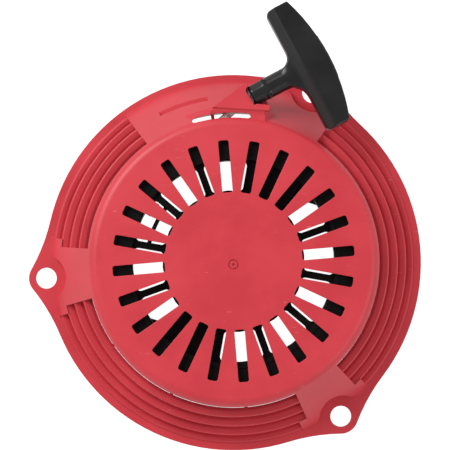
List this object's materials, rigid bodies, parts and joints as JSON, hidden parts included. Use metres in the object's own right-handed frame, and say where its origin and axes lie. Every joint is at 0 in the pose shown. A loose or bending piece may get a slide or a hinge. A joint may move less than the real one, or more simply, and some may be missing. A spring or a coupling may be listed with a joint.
{
  "type": "recoil starter",
  "caption": "Pull-rope recoil starter: slotted plastic dome with louvred skirt and three bolt lugs, sprung rope reel, two swinging ratchets and a T-grip.",
  "frame": {"origin": "on the reel's axis, in the plane of the flange's underside, at the centre of the bolt circle", "axes": "+Z out of the dome along the reel's axis, +Y towards the rope outlet's side, +X so that the rope is pulled towards +X with some +Y"},
  "size_m": [0.2088, 0.2339, 0.0486],
  "materials": {
    "red_plastic": "satin moulded",
    "black_plastic": "satin moulded",
    "grip_plastic": "satin moulded",
    "guide_plastic": "natural nylon",
    "rope": "braided",
    "brass": "knurled",
    "zinc_steel": "zinc plated",
    "spring_steel": "oiled",
    "dark_steel": "blackened",
    "ratchet_steel": "sintered"
  },
  "bodies": {
    "housing": {"housing": "red_plastic", "rope_eyelet": "dark_steel", "post_insert": "brass", "centre_screw": "zinc_steel", "guide_washer": "zinc_steel", "rope_lead": "rope", "recoil_spring": "spring_steel"},
    "reel": {"reel": "black_plastic", "rope_coil": "rope", "reel_knot": "rope", "return_spring_1": "spring_steel", "return_spring_2": "spring_steel"},
    "guide": {"ratchet_guide": "guide_plastic", "friction_spring": "zinc_steel"},
    "ratchet_1": {"ratchet_1": "ratchet_steel"},
    "ratchet_2": {"ratchet_2": "ratchet_steel"},
    "grip": {"grip_body": "grip_plastic", "grip_cover": "grip_plastic", "knot_plate": "zinc_steel", "grip_knot": "rope", "rope_in_grip": "rope"}
  },
  "joints": [
    {"name": "reel_spin", "type": "hinge", "parent": "housing", "child": "reel", "pos_m": [0, 0, 0.022], "axis": [0, 0, -1], "range_deg": [0, 1080], "stiffness_Nm_per_rad": 0.0186, "springref_deg": -1080.03, "deforming": ["recoil_spring"]},
    {"name": "grip_pull", "type": "slide", "parent": "housing", "child": "grip", "axis": [0.8829, 0.4695, 0], "range_m": [0, 1.103]},
    {"name": "guide_turn", "type": "hinge", "parent": "reel", "child": "guide", "pos_m": [0, 0, 0.0129], "axis": [0, 0, 1], "range_deg": [0, 15]},
    {"name": "ratchet_1_swing", "type": "hinge", "parent": "reel", "child": "ratchet_1", "pos_m": [0.01367, 0.03971, 0.018], "axis": [0, 0, 1], "range_deg": [0, 24], "stiffness_Nm_per_rad": 0.002, "springref_deg": -34.38, "deforming": ["return_spring_1"]},
    {"name": "ratchet_2_swing", "type": "hinge", "parent": "reel", "child": "ratchet_2", "pos_m": [-0.01367, -0.03971, 0.018], "axis": [0, 0, 1], "range_deg": [0, 24], "stiffness_Nm_per_rad": 0.002, "springref_deg": -34.38, "deforming": ["return_spring_2"]}
  ],
  "couplings": [
    {"joint": "grip_pull", "follows": "reel_spin", "m_per_rad": 0.0585},
    {"joint": "ratchet_1_swing", "follows": "guide_turn", "ratio": 1.6},
    {"joint": "ratchet_2_swing", "follows": "guide_turn", "ratio": 1.6}
  ]
}
